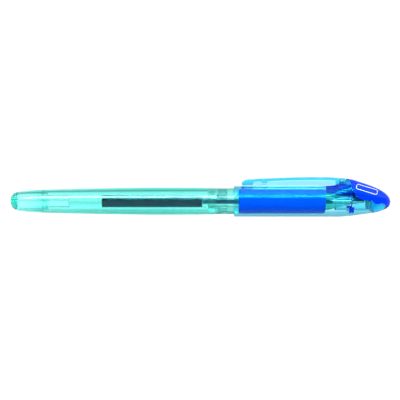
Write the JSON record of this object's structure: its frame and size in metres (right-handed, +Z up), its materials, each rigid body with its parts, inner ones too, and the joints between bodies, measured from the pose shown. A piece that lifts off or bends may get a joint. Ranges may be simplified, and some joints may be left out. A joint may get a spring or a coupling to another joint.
{
  "type": "gel pen",
  "caption": "Capped stick gel pen with a clear tinted barrel, dark ink refill, rubber grip and a clear cap with a pocket clip and blue crown.",
  "frame": {"origin": "centre of the bounding box's bottom face: under the pen's middle, on the surface that the cap lies on", "axes": "+X along the pen from the tail plug to the cap's crown, +Z up through the pocket clip, +Y across the pen"},
  "size_m": [0.15, 0.0122, 0.0156],
  "materials": {
    "body_clear": "polished transparent blue-green plastic",
    "cap_clear": "polished transparent sky-blue plastic",
    "grip_rubber": "smooth satin blue elastomer",
    "crown_blue": "opaque glossy blue plastic",
    "refill_plastic": "milky translucent polypropylene",
    "ink": "dark blue gel ink",
    "grease": "clear follower grease",
    "steel": "drawn stainless steel",
    "seal_elastomer": "soft translucent grey-blue elastomer"
  },
  "bodies": {
    "barrel": {"barrel": "body_clear", "tail_plug": "body_clear"},
    "refill": {"reservoir_tube": "refill_plastic", "tip_holder": "refill_plastic", "tip_housing": "steel", "feed_ink": "ink", "ink_column": "ink"},
    "follower": {"grease_follower": "grease"},
    "ball": {"writing_ball": "steel"},
    "grip_section": {"front_section": "body_clear", "rubber_grip": "grip_rubber", "nose_cone": "body_clear"},
    "cap": {"cap_shell": "cap_clear", "crown_insert": "crown_blue", "inner_cap": "cap_clear", "tip_seal": "seal_elastomer"},
    "clip": {"pocket_clip": "cap_clear"}
  },
  "joints": [
    {"name": "refill_travel", "type": "slide", "parent": "barrel", "child": "refill", "axis": [1, 0, 0], "range_m": [0, 0.0031]},
    {"name": "section_turn", "type": "hinge", "parent": "refill", "child": "grip_section", "pos_m": [0.006, 0, 0.00611], "axis": [1, 0, 0], "range_deg": [0, 1800]},
    {"name": "cap_pull", "type": "slide", "parent": "grip_section", "child": "cap", "axis": [1, 0, 0], "range_m": [0, 0.056]},
    {"name": "clip_flex", "type": "hinge", "parent": "cap", "child": "clip", "pos_m": [0.0548, 0, 0.01531], "axis": [0, 1, 0], "range_deg": [0, 4], "stiffness_Nm_per_rad": 2.2},
    {"name": "follower_travel", "type": "slide", "parent": "refill", "child": "follower", "axis": [1, 0, 0], "range_m": [0, 0.0385], "deforming": ["ink_column"]},
    {"name": "ball_roll", "type": "hinge", "parent": "refill", "child": "ball", "pos_m": [0.06425, 0, 0.00611], "axis": [0, 1, 0], "continuous": true}
  ],
  "couplings": [
    {"joint": "refill_travel", "follows": "section_turn", "m_per_rad": 0.000095493}
  ]
}
